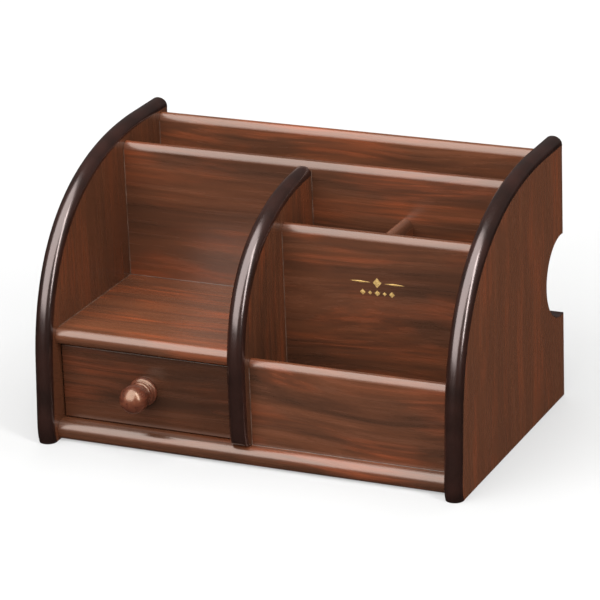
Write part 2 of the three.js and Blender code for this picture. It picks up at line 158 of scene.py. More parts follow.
class Shell:
    """Points and faces of one closed mesh, gathered row by row. Points are (x, y, z) in millimetres."""

    def __init__(self):
        self.points = []
        self.faces = []
        self.finishes = []

    def row(self, points):
        start = len(self.points)
        self.points.extend(points)
        return list(range(start, len(self.points)))

    def face(self, corners, finish=0):
        self.faces.append(corners)
        self.finishes.append(finish)

    def bridge(self, row_a, row_b, finish=0, closed=False):
        pairs = list(zip(row_a, row_b))
        if closed:
            pairs.append(pairs[0])
        for (a, b), (a_next, b_next) in zip(pairs, pairs[1:]):
            self.face([a, a_next, b_next, b], finish)

    def mesh(self, name):
        """The welded mesh in metres, with its faces turned outwards."""
        made = bpy.data.meshes.new(name)
        made.from_pydata([Vector(p) * MM for p in self.points], [], self.faces)
        made.polygons.foreach_set("material_index", self.finishes)
        work = bmesh.new()
        work.from_mesh(made)
        bmesh.ops.remove_doubles(work, verts=work.verts, dist=2e-7)
        bmesh.ops.dissolve_degenerate(work, edges=work.edges, dist=2e-7)
        bmesh.ops.recalc_face_normals(work, faces=work.faces)
        work.to_mesh(made)
        work.free()
        return made


def add_object(name, mesh):
    made = bpy.data.objects.new(name, mesh)
    bpy.context.scene.collection.objects.link(made)
    return made


def bake_modifiers(piece):
    """The piece's modifiers become its mesh."""
    bpy.context.view_layer.update()
    evaluated = piece.evaluated_get(bpy.context.evaluated_depsgraph_get())
    mesh = bpy.data.meshes.new_from_object(evaluated)
    piece.modifiers.clear()
    old = piece.data
    piece.data = mesh
    bpy.data.meshes.remove(old)


def carve(piece, cutter_shell):
    """Cuts the closed bodies of one shell out of the piece. They mustn't overlap each other."""
    cutter = add_object("cutter", cutter_shell.mesh("cutter"))
    cut = piece.modifiers.new("cut", "BOOLEAN")
    cut.operation = "DIFFERENCE"
    cut.solver = "EXACT"
    cut.object = cutter
    bake_modifiers(piece)
    mesh = cutter.data
    bpy.data.objects.remove(cutter)
    bpy.data.meshes.remove(mesh)


def soften(piece, width):
    """Rounds the sharp edges of the piece."""
    bevel = piece.modifiers.new("arris", "BEVEL")
    bevel.width = width * MM
    bevel.segments = 3
    bevel.limit_method = "ANGLE"
    bevel.angle_limit = math.radians(BEVEL_ANGLE)
    bake_modifiers(piece)


def finish_piece(piece, materials, body, slot, *nodes, sharp=PIECE_SHARP):
    """Smooth shading with crisp arrises, materials, and the piece's place in the frame."""
    for material in materials:
        piece.data.materials.append(material)
    piece.data.shade_smooth()
    piece.data.set_sharp_from_angle(angle=math.radians(sharp))
    weighted = piece.modifiers.new("weighted normals", "WEIGHTED_NORMAL")
    weighted.keep_sharp = True
    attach(piece, body)
    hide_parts(*nodes)
    return piece


def arc(centre, radius, start, end, steps):
    """Points of an arc in a plane, from one angle in degrees to another."""
    made = []
    for step in range(steps + 1):
        angle = math.radians(start + (end - start) * step / steps)
        made.append((centre[0] + radius * math.cos(angle), centre[1] + radius * math.sin(angle)))
    return made


def bezier(points, share):
    """The point at a share from 0 to 1 along a Bezier curve."""
    points = [np.array(point, float) for point in points]
    while len(points) > 1:
        points = [a + (b - a) * share for a, b in zip(points, points[1:])]
    return points[0]


def lathe(shell, profile, sides, seat, axis, finish=0, ripple=None):
    """A turned body: profile holds (radius, height) from the axis to the axis, and height runs along axis."""
    axis = Vector(axis)
    across = axis.orthogonal().normalized()
    up = axis.cross(across)
    rows = []
    for radius, height in profile:
        ring = []
        for side in range(sides):
            angle = 2 * math.pi * side / sides
            here = radius + (ripple(angle, radius, height) if ripple else 0)
            spoke = across * math.cos(angle) + up * math.sin(angle)
            ring.append(Vector(seat) + axis * height + spoke * here)
        rows.append(shell.row(ring))
    for row_a, row_b in zip(rows, rows[1:]):
        shell.bridge(row_a, row_b, finish, closed=True)
    return shell


def block(shell, low, high):
    """A box between two corners."""
    low, high = Vector(low), Vector(high)
    corners = ((low.x, low.y), (high.x, low.y), (high.x, high.y), (low.x, high.y))
    bottom, top = [shell.row([(x, y, z) for x, y in corners]) for z in (low.z, high.z)]
    shell.bridge(bottom, top, closed=True)
    shell.face(bottom)
    shell.face(top)
    return shell


def box_mm(node):
    """Lowest and highest corner of a CAD node, in millimetres."""
    low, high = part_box(node)
    return low / MM, high / MM


# ---- Materials -------------------------------------------


class Surface:
    """A material's node tree. add() makes a node, sets its inputs and links those that are sockets."""

    def __init__(self, name):
        self.material = bpy.data.materials.new(name)
        self.material.use_nodes = True
        self.tree = self.material.node_tree
        self.shader = self.tree.nodes["Principled BSDF"]

    def put(self, node, name, value):
        socket = node.inputs[name]
        if isinstance(value, bpy.types.NodeSocket):
            self.tree.links.new(value, socket)
        else:
            socket.default_value = value

    def add(self, kind, inputs, output=0, **settings):
        node = self.tree.nodes.new("ShaderNode" + kind)
        for name, value in settings.items():
            setattr(node, name, value)
        for name, value in inputs.items():
            self.put(node, name, value)
        return node.outputs[output]

    def shade(self, **inputs):
        for name, value in inputs.items():
            self.put(self.shader, name.replace("_", " ").title().replace("Ior", "IOR"), value)

    def place(self):
        return self.tree.nodes.new("ShaderNodeTexCoord").outputs["Object"]

    def noise(self, place, scale, offset=(0, 0, 0), detail=2.0, roughness=0.5):
        """Noise whose scale is in features per metre along x, y and z."""
        spot = self.add("Mapping", {"Vector": place, "Location": offset, "Scale": scale})
        return self.add("TexNoise", {"Vector": spot, "Scale": 1.0, "Detail": detail, "Roughness": roughness})

    def ramp(self, factor, stops, interpolation="LINEAR"):
        node = self.tree.nodes.new("ShaderNodeValToRGB")
        node.color_ramp.interpolation = interpolation
        elements = node.color_ramp.elements
        while len(elements) < len(stops):
            elements.new(0.5)
        for element, (position, colour) in zip(elements, stops):
            element.position = position
            element.color = (*colour, 1.0)
        self.tree.links.new(factor, node.inputs[0])
        return node.outputs[0]

    def math(self, operation, a, b):
        node = self.tree.nodes.new("ShaderNodeMath")
        node.operation = operation
        self.put(node, 0, a)
        self.put(node, 1, b)
        return node.outputs[0]

    def blend(self, factor, a, b, kind="MIX"):
        node = self.tree.nodes.new("ShaderNodeMix")
        node.data_type = "RGBA"
        node.blend_type = kind
        self.put(node, 0, factor)
        self.put(node, 6, a)
        self.put(node, 7, b)
        return node.outputs[2]

    def spread(self, value, low, high, from_low=0.3, from_high=0.7):
        return self.add(
            "MapRange",
            {"Value": value, "From Min": from_low, "From Max": from_high, "To Min": low, "To Max": high},
        )

    def bump(self, height, strength, distance):
        """distance is in millimetres."""
        inputs = {"Height": height, "Strength": strength, "Distance": distance * MM}
        self.shade(normal=self.add("Bump", inputs))


def along(axis, with_grain, across):
    """Noise scale that is with_grain along one axis and across it on the other two."""
    return tuple(with_grain if name == axis else across for name in "XYZ")


FILM_TONE = 0.86
FILM_BROWNS = [
    (0.36, (0.034, 0.0140, 0.0075)),
    (0.46, (0.051, 0.0188, 0.0094)),
    (0.55, (0.068, 0.0235, 0.0108)),
    (0.68, (0.090, 0.0305, 0.0140)),
]
FILM_MIDDLE = FILM_BROWNS[2][1]  # the brown that contrast spreads the others from
FILM_RED = (0.125, 0.0300, 0.0105)


def film(name, axis, seed, tone_and_shading=1.0, redness=1.0, contrast=1.0):
    """Printed walnut-grain film under a satin lacquer: grey-brown bands and red streaks along one axis."""
    s = Surface(name)
    offset = (seed * 1.7, seed * 2.3, seed * 3.1)
    place = s.place()
    sway = s.noise(place, along(axis, 5, 14), offset, detail=1.0)
    sway = s.math("MULTIPLY", s.math("SUBTRACT", sway, 0.5), 0.026)
    first, second = "XYZ".replace(axis, "")
    shift = s.add("CombineXYZ", {first: sway, second: sway})
    bent = s.add("VectorMath", {0: place, 1: shift}, operation="ADD")
    bands = s.noise(bent, along(axis, 4, 75), offset, detail=3.0, roughness=0.55)
    streaks = s.noise(bent, along(axis, 8, 300), offset, detail=2.5, roughness=0.55)
    patches = s.noise(bent, along(axis, 8, 40), (offset[1], offset[2], offset[0]), detail=3.0, roughness=0.6)
    pores = s.noise(bent, along(axis, 120, 2600), offset, detail=1.0)
    figure = s.math("ADD", s.math("MULTIPLY", bands, 0.68), s.math("MULTIPLY", streaks, 0.32))
    # The per-board brightness factor is partly the board's own tone and partly painted light and shade,
    # matched to how lit each board is.
    tone_and_shading = tone_and_shading * FILM_TONE
    stops = []
    for position, colour in FILM_BROWNS:
        stops.append((position, [tone_and_shading * (m + contrast * (c - m)) for c, m in zip(colour, FILM_MIDDLE)]))
    brown = s.ramp(figure, stops)
    red = [tone_and_shading * part for part in FILM_RED]
    patch = s.spread(patches, 0.0, redness, 0.48, 0.68)
    colour = s.blend(s.math("MULTIPLY", patch, s.spread(streaks, 0.3, 1.0, 0.42, 0.58)), brown, (*red, 1.0))
    fleck = s.spread(pores, 1 - 0.14 * contrast, 1.0, 0.34, 0.44)
    colour = s.blend(1.0, colour, fleck, "MULTIPLY")
    s.shade(
        base_color=colour,
        roughness=s.spread(streaks, 0.22, 0.30),
        specular_ior_level=0.65,
        specular_tint=(1.0, 0.86, 0.78, 1.0),
    )
    s.bump(s.math("ADD", s.math("MULTIPLY", streaks, 0.6), s.math("MULTIPLY", fleck, 0.4)), 0.08, 0.03)
    return s.material


def dark_lacquer(name):
    """Near-black maroon edge lacquer, glossy, with faint clouds and a slow ripple."""
    s = Surface(name)
    place = s.place()
    clouds = s.noise(place, (40, 40, 40), detail=3.0)
    specks = s.noise(place, (900, 900, 900), detail=2.0)
    ripple = s.noise(place, (60, 60, 40), detail=1.0)
    colour = s.ramp(clouds, [(0.35, (0.0070, 0.0030, 0.0022)), (0.65, (0.0135, 0.0050, 0.0036))])
    s.shade(
        base_color=colour,
        roughness=s.spread(specks, 0.19, 0.25),
        specular_ior_level=0.8,
        specular_tint=(1.0, 0.84, 0.81, 1.0),
    )
    s.bump(ripple, 0.05, 0.15)
    return s.material


def plywood(name, thickness_axis, face_axis, seed):
    """Bare thin plywood: alternate plies run along and across, so a cut edge shows its layers."""
    s = Surface(name)
    offset = (seed * 1.3, seed * 2.9, seed * 0.7)
    place = s.place()
    cross_axis = "XYZ".replace(thickness_axis, "").replace(face_axis, "")
    parts = s.tree.nodes.new("ShaderNodeSeparateXYZ")
    s.tree.links.new(place, parts.inputs[0])
    depth = s.math("MULTIPLY", parts.outputs[thickness_axis], 420)
    layer = s.math("GREATER_THAN", s.math("FRACT", depth, 0.0), 0.5)
    face = s.noise(place, along(face_axis, 9, 260), offset, detail=4.0, roughness=0.6)
    cross = s.noise(place, along(cross_axis, 9, 420), offset, detail=3.0, roughness=0.6)
    pale = s.ramp(face, [(0.3, (0.22, 0.125, 0.062)), (0.5, (0.30, 0.185, 0.10)), (0.7, (0.37, 0.245, 0.14))])
    brown = s.ramp(cross, [(0.3, (0.13, 0.068, 0.033)), (0.7, (0.24, 0.14, 0.072))])
    fibre = s.noise(place, along(face_axis, 60, 1900), offset, detail=2.0)
    s.shade(
        base_color=s.blend(layer, pale, brown),
        roughness=s.spread(fibre, 0.58, 0.78),
        specular_ior_level=0.3,
    )
    s.bump(fibre, 0.35, 0.12)
    return s.material


def turned_wood(name):
    """Stained hardwood under a thick gloss lacquer, with the grain running along the lathe axis."""
    s = Surface(name)
    place = s.place()
    grain = s.noise(place, along("Y", 25, 420), detail=4.0, roughness=0.6)
    clouds = s.noise(place, (70, 70, 70), detail=2.0)
    mixed = s.math("ADD", s.math("MULTIPLY", grain, 0.65), s.math("MULTIPLY", clouds, 0.35))
    browns = [(0.36, (0.034, 0.010, 0.0055)), (0.5, (0.058, 0.015, 0.008)), (0.66, (0.085, 0.024, 0.011))]
    colour = s.ramp(mixed, browns)
    s.shade(
        base_color=colour,
        roughness=s.spread(grain, 0.25, 0.33),
        specular_ior_level=0.85,
        specular_tint=(1.0, 0.70, 0.48, 1.0),
        coat_weight=0.2,
        coat_roughness=0.1,
    )
    s.bump(grain, 0.015, 0.04)
    return s.material


def beech(name):
    """Bare beech of the dowels."""
    s = Surface(name)
    place = s.place()
    grain = s.noise(place, (90, 420, 420), detail=3.0, roughness=0.6)
    colour = s.ramp(grain, [(0.3, (0.42, 0.24, 0.11)), (0.7, (0.66, 0.44, 0.24))])
    s.shade(base_color=colour, roughness=s.spread(grain, 0.55, 0.75), specular_ior_level=0.3)
    s.bump(grain, 0.3, 0.1)
    return s.material


def zinc(name):
    """Yellowish zinc plating on steel, with a fine brushed variation."""
    s = Surface(name)
    place = s.place()
    haze = s.noise(place, (260, 260, 260), detail=3.0)
    fine = s.noise(place, (2600, 2600, 2600), detail=2.0)
    colour = s.ramp(haze, [(0.35, (0.44, 0.40, 0.31)), (0.65, (0.66, 0.63, 0.55))])
    s.shade(base_color=colour, metallic=1.0, roughness=s.spread(fine, 0.24, 0.42))
    s.bump(fine, 0.15, 0.02)
    return s.material


def gold_foil(name):
    """Rough gold leaf."""
    s = Surface(name)
    place = s.place()
    fine = s.noise(place, (1500, 1500, 1500), detail=3.0)
    colour = s.ramp(fine, [(0.35, (0.46, 0.27, 0.075)), (0.65, (0.80, 0.55, 0.22))])
    s.shade(base_color=colour, metallic=0.75, roughness=s.spread(fine, 0.28, 0.5))
    s.bump(fine, 0.2, 0.02)
    return s.material


STAGE_GLOW = (0.38, 0.95)  # emission near the object and far from it: painted light, weaker near the object
STAGE_GLOW_REACH = (0.25, 1.8)  # metres from the middle that count as near and far


def pale_floor(name):
    """Matt white studio floor that glows a little, like a lit table, and more towards its far rim: painted
    light.
    """
    s = Surface(name)
    place = s.place()
    mottle = s.noise(place, (3, 3, 3), detail=3.0)
    colour = s.ramp(mottle, [(0.3, (0.185, 0.185, 0.183)), (0.7, (0.195, 0.195, 0.195))])
    reach = s.add("VectorMath", {0: place}, output="Value", operation="LENGTH")
    s.shade(
        base_color=colour,
        roughness=s.spread(mottle, 0.75, 0.9),
        specular_ior_level=0.1,
        emission_color=(1.0, 1.0, 1.0, 1.0),
        emission_strength=s.spread(reach, *STAGE_GLOW, *STAGE_GLOW_REACH),
    )
    return s.material


def glue_line_painted_highlight(name):
    """Dried glue and film edge in the inner corners, paler than the film as a painted highlight."""
    s = Surface(name)
    place = s.place()
    beads = s.noise(place, (140, 140, 140), detail=3.0)
    # The pale colours are a painted highlight: the thin light line that the inner corners catch.
    colour = s.ramp(beads, [(0.35, (0.040, 0.020, 0.012)), (0.65, (0.090, 0.052, 0.036))])
    s.shade(base_color=colour, roughness=s.spread(beads, 0.35, 0.5), specular_ior_level=0.5)
    s.bump(beads, 0.2, 0.1)
    return s.material


LACQUER = dark_lacquer("edge_lacquer")
TURNED = turned_wood("turned_knob_wood")
BEECH = beech("beech")
ZINC = zinc("zinc_plate")
GOLD = gold_foil("gold_foil")
GLUE_AND_HIGHLIGHT = glue_line_painted_highlight("glue_line_painted_highlight")


# ---- Holes for the fasteners -----------------------------

UP = (0, 0, 1)
FASTENERS = [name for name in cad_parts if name.startswith(("dowel_", "screw_", "brad_", "knob_screw"))]


def touches(low_a, high_a, low_b, high_b):
    """Whether two boxes overlap."""
    return all(low_a[i] < high_b[i] and low_b[i] < high_a[i] for i in range(3))


def rod(shell, low, high, grow):
    """A cylinder round the long axis of a box, bigger all round by grow."""
    size = high - low
    axis = max(range(3), key=lambda i: size[i])
    radius = min(size) / 2 + grow
    direction = Vector([float(i == axis) for i in range(3)])
    half = size[axis] / 2 + grow
    profile = [(0, -half), (radius, -half), (radius, half), (0, half)]
    return lathe(shell, profile, HOLE_SIDES["rod"], (low + high) / 2, direction)


def screw_hole(shell, low, high):
    """Clearance hole with a countersink, open at the floor side."""
    middle = (low + high) / 2
    grow = HOLE_SLACK + 0.05
    head = WOOD_SCREW["head_radius"] + grow
    shank = WOOD_SCREW["radius"] + WOOD_SCREW["thread"] + grow
    rim, rise = low.z + WOOD_SCREW["rim"], low.z + WOOD_SCREW["head_height"]
    profile = [(0, -1), (head, -1), (head, rim), (shank, rise), (shank, high.z + 1), (0, high.z + 1)]
    return lathe(shell, profile, HOLE_SIDES["screw"], (middle.x, middle.y, 0), UP)


def drill(piece, node):
    """Holes where fasteners pass through the board that this piece stands for."""
    board_low, board_high = box_mm(node)
    holes = Shell()
    for name in FASTENERS:
        low, high = box_mm(name)
        if not touches(board_low, board_high, low, high):
            continue
        if name.startswith("screw_"):
            screw_hole(holes, low, high)
        elif name == "knob_screw":
            # Its box is as wide as its head, so the hole is brought in to the shank.
            rod(holes, low, high, KNOB_SCREW["radius"] - KNOB_SCREW["head_radius"] + 2 * HOLE_SLACK)
        else:
            rod(holes, low, high, HOLE_SLACK)
    if holes.points:
        carve(piece, holes)


# ---- Arched panels ---------------------------------------


EDGE_STEPS = 160
FOOT_PULL = 4  # height over the underside of the control point that bends the tuck
BEYOND = 12  # how far the face edge runs past the back
TOE_BEND = (0.2, 0.15)  # corner of the curve under a foot, as shares of its depth and rise
TOE_STEPS = 24
NOTCH_STEPS = 48
EASE = 3  # distance from each end of the outline to its next point on the underside or the back


def face_edge(plan):
    """Closely spaced points (y, z) of the face edge, from the foot over the crest to beyond the back."""
    front = plan["front"] + plan["edge_radius"]
    crest_z = plan["height"] - plan["edge_radius"]
    foot = (front + plan["tuck"], plan["bottom"])
    belly = (front, plan["bottom"] + plan["tuck_rise"])
    knee = (front + plan["lean"], plan["knee_height"])
    slope = plan["lean"] / (knee[1] - belly[1])
    crest = (plan["crest_y"], crest_z)
    sweep = [
        knee,
        (knee[0] + slope * plan["rise_pull"], knee[1] + plan["rise_pull"]),
        (crest[0] - plan["crest_pull"], crest_z),
        crest,
    ]
    tuck = [foot, (front, plan["bottom"] + FOOT_PULL), belly]
    points = [bezier(tuck, step / EDGE_STEPS) for step in range(EDGE_STEPS)]
    points += [bezier([belly, knee], step / EDGE_STEPS) for step in range(EDGE_STEPS)]
    points += [bezier(sweep, step / (2 * EDGE_STEPS)) for step in range(2 * EDGE_STEPS)]
    points += [np.array(crest), np.array((max(plan["back"], plan["crest_y"]) + BEYOND, crest_z))]
    return np.array(points)


def offset_curve(points, distance):
    """The face edge moved outwards, along its own normals."""
    tangents = np.gradient(points, axis=0)
    tangents /= np.linalg.norm(tangents, axis=1)[:, None]
    tangents[-1] = (1, 0)
    tangents[-2] = (1, 0)
    normals = np.stack([-tangents[:, 1], tangents[:, 0]], axis=1)
    return points + normals * distance


def toe_curve(plan):
    """Points (y, z) of the cut under a panel's foot, from its front to its sole."""
    front, bottom = plan["front"], plan["bottom"]
    corners = [
        (front, bottom + plan["toe_rise"]),
        (front + plan["toe"] * TOE_BEND[0], bottom + plan["toe_rise"] * TOE_BEND[1]),
        (front + plan["toe"], bottom),
    ]
    return np.array([bezier(corners, step / TOE_STEPS) for step in range(TOE_STEPS + 1)])


def over_floor(plan, point):
    """Height of a point over the panel's underside."""
    if plan["toe"] and point[0] < plan["front"] + plan["toe"]:
        toe = toe_curve(plan)
        return point[1] - np.interp(point[0], toe[:, 0], toe[:, 1])
    return point[1] - plan["bottom"]


def short_of_back(plan, point):
    """How far a point lies inside the panel's back edge and its rounded rear tip."""
    radius = plan["tip_radius"]
    y, z = point[0] - (plan["back"] - radius), point[1] - (plan["height"] - radius)
    if radius and y > 0 and z > 0:
        return radius - math.hypot(y, z)
    return plan["back"] - point[0]


def crossing(points, test):
    """Place along the points, as a decimal index, where test turns from negative to positive."""
    values = [test(point) for point in points]
    for index, (a, b) in enumerate(zip(values, values[1:])):
        if a < 0 <= b:
            return index + a / (a - b)
    return 0.0


def cut_column(plan, points, rows):
    """The stretch of an offset curve inside the panel, as evenly spaced points."""
    # The level stretch behind the crest is one long step, so the round of the rear tip is met only roughly:
    # the tip stands up to 2 mm outside the CAD's.
    start = crossing(points, lambda p: over_floor(plan, p))
    end = len(points) - 1 - crossing(points[::-1], lambda p: short_of_back(plan, p))
    lengths = np.concatenate([[0], np.cumsum(np.linalg.norm(np.diff(points, axis=0), axis=1))])
    index = np.arange(len(points))
    first, last = np.interp([start, end], index, lengths)
    wanted = np.linspace(first, last, rows)
    return np.stack([np.interp(wanted, lengths, points[:, i]) for i in range(2)], axis=1)


def back_path(plan, start, end):
    """Outline points (y, z) from the foot along the underside and up the back, round any hand hole."""
    back, bottom = plan["back"], plan["bottom"]
    path = [tuple(start)]
    if plan["toe"]:
        path += [tuple(p) for p in toe_curve(plan) if p[0] > start[0] + 0.2]
    path += [(start[0] + EASE, bottom), (back, bottom)]
    if plan["notch"]:
        radius, y, z = plan["notch"]
        reach = math.degrees(math.acos((back - y) / radius))
        path += arc((y, z), radius, -reach, reach - 360, NOTCH_STEPS)
    path += [(back, end[1] - EASE), tuple(end)]
    return np.array(path)


def inward_normals(path):
    """Mitred normals that point into the panel, for a path that runs round it with the panel on its left."""
    steps = np.diff(path, axis=0)
    steps /= np.linalg.norm(steps, axis=1)[:, None]
    normals = np.stack([-steps[:, 1], steps[:, 0]], axis=1)
    made = []
    for index in range(len(path)):
        a = normals[max(index - 1, 0)]
        b = normals[min(index, len(normals) - 1)]
        made.append((a + b) / max(0.4, 1 + a @ b))
    return np.array(made)


def softened_rings(shell, path, low, high):
    """Rings that round off both arrises of the outline: those of the left face, then those of the right."""
    normals = inward_normals(path)
    weights = np.ones(len(path))
    weights[0] = weights[-1] = 0
    steps = 3
    made = []
    for x_face, direction in ((low.x, 1), (high.x, -1)):
        rings = []
        for step in range(steps + 1):
            angle = math.pi / 2 * step / steps
            inset = ARRIS * (1 - math.sin(angle)) * weights
            depth = ARRIS * (1 - math.cos(angle)) * weights
            ring = path + normals * inset[:, None]
            points = [(x_face + direction * d, y + BACK_SHIFT, z) for (y, z), d in zip(ring, depth)]
            rings.append(shell.row(points))
        for ring_a, ring_b in zip(rings, rings[1:]):
            shell.bridge(ring_a, ring_b, 1)
        made.append(rings)
    return made


def arched_panel(name, plan, face_material):
    """A panel with a half-round front and top edge: dark lacquer on every edge, film on both faces."""
    low, high = box_mm(name)
    radius = plan["edge_radius"]
    edge = face_edge(plan)
    quarter = []
    for step in range(NOSE_STEPS + 1):
        angle = math.pi / 2 * step / NOSE_STEPS
        quarter.append((radius * (1 - math.cos(angle)), radius * math.sin(angle)))
    columns = [(low.x + x, reach) for x, reach in quarter]
    columns += [(high.x - x, reach) for x, reach in quarter[::-1]]
    shell = Shell()
    rows = []
    sections = {reach: cut_column(plan, offset_curve(edge, reach), ROWS) for _, reach in quarter}
    for x, reach in columns:
        rows.append(shell.row([(x, y + BACK_SHIFT, z) for y, z in sections[reach]]))
    for row_a, row_b in zip(rows, rows[1:]):
        shell.bridge(row_a, row_b, 1)
    half = len(rows) // 2
    for end in (0, -1):
        for j in range(half - 1):
            shell.face([rows[j][end], rows[j + 1][end], rows[-j - 2][end], rows[-j - 1][end]], 1)

    path = back_path(plan, sections[0.0][0], sections[0.0][-1])
    left, right = softened_rings(shell, path, low, high)
    shell.bridge(left[-1], right[-1], 1)
    shell.face(rows[0] + left[0][::-1][1:-1], 0)
    shell.face(rows[-1] + right[0][::-1][1:-1], 0)

    piece = add_object(name + "_look", shell.mesh(name + "_look"))
    drill(piece, name)
    return finish_piece(piece, [face_material, LACQUER], "carcass", "film_board", name)


# Brightness factors per panel are partly painted light and shade: higher for the right panel, whose lit outer
# face is seen, than for the left, whose inner face is in shade.
arched_panel("left_end_panel", END, film("film_left_end", "Z", 1.0, tone_and_shading=0.92, redness=0.45, contrast=0.5))
arched_panel("right_end_panel", END, film("film_right_end", "Z", 2.4, tone_and_shading=1.36, redness=0.6, contrast=0.25))
arched_panel("centre_divider", DIVIDER, film("film_divider", "Z", 3.0, contrast=0.7))


# ---- Boards with one section all along -------------------


NOSE_CREASE = 68  # degrees: slope of a nose where it meets the flat top in a crisp line
CREST_DROP = 1.22  # height of a crest's shoulder, in half thicknesses
CREST_LEAN = math.tan(math.radians(9))  # lean of the shoulder where it meets the flat face
CREST_PULL = 0.55  # share of the half width, and of the drop, that the curve's inner control points reach
CREST_DIP = 0.45  # what is left of the drop above the lower one
ARRIS_STEPS = 6


def arris(centre, start):
    """Quarter round on a corner of a section, from an angle in degrees."""
    return arc(centre, ARRIS, start, start + 90, ARRIS_STEPS)


def nosed_section(front, back, bottom, top):
    """Flat board with a rounded front edge that leaves the top in a crisp line."""
    radius = (top - bottom) / (1 + math.sin(math.radians(NOSE_CREASE)))
    nose = arc((front + radius, bottom + radius), radius, 180 - NOSE_CREASE, 270, ROUND_STEPS)
    return nose + arris((back - ARRIS, bottom + ARRIS), -90) + arris((back - ARRIS, top - ARRIS), 0)


def crested_section(front, back, bottom, top):
    """Upright board with a crowned top edge whose shoulders meet the faces in crisp lines."""
    half = (back - front) / 2
    drop = half * CREST_DROP
    middle = front + half
    crest = []
    for side in (1, -1):
        corners = [
            (middle, top),
            (middle + side * half * CREST_PULL, top),
            (middle + side * (half - drop * CREST_PULL * CREST_LEAN), top - drop * CREST_DIP),
            (middle + side * half, top - drop),
        ]
        shoulder = [tuple(bezier(corners, step / ROUND_STEPS)) for step in range(ROUND_STEPS + 1)]
        crest += shoulder[::-1] if side == 1 else shoulder[1:]
    return crest + arris((front + ARRIS, bottom + ARRIS), 180) + arris((back - ARRIS, bottom + ARRIS), 270)


def section_board(name, section_of, material, run="X"):
    """Extrudes a section between the two ends of its node's box, along x or along y."""
    low, high = box_mm(name)
    shell = Shell()
    if run == "X":
        section = section_of(low.y, high.y, low.z, high.z)
        ends = [shell.row([(x, u, v) for u, v in section]) for x in (low.x, high.x)]
    else:
        section = section_of(low.x, high.x, low.z, high.z)
        ends = [shell.row([(u, y, v) for u, v in section]) for y in (low.y, high.y)]
    shell.bridge(ends[0], ends[1], closed=True)
    shell.face(ends[0])
    shell.face(ends[1])
    piece = add_object(name + "_look", shell.mesh(name + "_look"))
    drill(piece, name)
    return finish_piece(piece, [material], "carcass", "film_board", name, sharp=BOARD_SHARP)


# Brightness factors per board are partly painted light and shade: the shelf's film is brightened as painted
# light on its lit top.
shelf_film = film("film_shelf", "X", 5.0, tone_and_shading=1.24, redness=1.3, contrast=0.75)
section_board("base_board", nosed_section, film("film_base", "X", 4.0, tone_and_shading=1.1, redness=1.2))
section_board("drawer_shelf", nosed_section, shelf_film)
section_board("partition_panel", crested_section, film("film_partition", "X", 6.0, tone_and_shading=1.0, contrast=0.85))
section_board("rear_panel", crested_section, film("film_rear", "X", 7.0, tone_and_shading=1.25))
section_board("mid_panel", crested_section, film("film_mid", "X", 8.0, tone_and_shading=0.98, contrast=0.9))
section_board("front_lip_panel", crested_section, film("film_lip", "X", 9.0))
section_board("pen_divider", crested_section, film("film_pen", "Y", 10.0, tone_and_shading=1.25, redness=1.2), run="Y")


# ---- Drawer ----------------------------------------------

OVERRUN = 2.0  # how far a cutter runs past the face that it opens
left_low, left_high = box_mm("drawer_left_side")
right_low = box_mm("drawer_right_side")[0]
front_low, front_high = box_mm("drawer_front")
bottom_low, bottom_high = box_mm("drawer_bottom")


def drawer_board(name, material, slot, cutters):
    """A board of the drawer: its box, less the grooves and rabbets that its neighbours sit in."""
    low, high = box_mm(name)
    piece = add_object(name + "_look", block(Shell(), low, high).mesh(name + "_look"))
    soften(piece, ARRIS)
    for low_corner, high_corner in cutters:
        carve(piece, block(Shell(), low_corner, high_corner))
    drill(piece, name)
    return finish_piece(piece, [material], "drawer", slot, name)


past_low = front_low - Vector((OVERRUN, OVERRUN, OVERRUN))
past_high = front_high + Vector((OVERRUN, OVERRUN, OVERRUN))
bottom_groove = (
    bottom_low - Vector((BUTT_GAP, BUTT_GAP, BUTT_GAP)),
    Vector((bottom_high.x + BUTT_GAP, bottom_high.y + OVERRUN, bottom_high.z + BUTT_GAP)),
)
left_rabbet = (
    Vector((past_low.x, left_low.y - BUTT_GAP, past_low.z)),
    Vector((left_high.x + BUTT_GAP, past_high.y, past_high.z)),
)
right_rabbet = (Vector((right_low.x - BUTT_GAP, right_low.y - BUTT_GAP, past_low.z)), past_high)
# The drawer front's film is darkened as painted shade, for the shade under the shelf.
drawer_board(
    "drawer_front",
    film("film_drawer_front", "X", 11.0, tone_and_shading=0.66, contrast=0.8),
    "drawer_film",
    [bottom_groove, left_rabbet, right_rabbet],
)
drawer_board("drawer_left_side", plywood("ply_left", "X", "Y", 1.0), "drawer_box", [bottom_groove])
drawer_board("drawer_right_side", plywood("ply_right", "X", "Y", 2.0), "drawer_box", [bottom_groove])
drawer_board("drawer_back", plywood("ply_back", "Y", "X", 3.0), "drawer_box", [])
drawer_board("drawer_bottom", plywood("ply_bottom", "Z", "X", 4.0), "drawer_box", [])


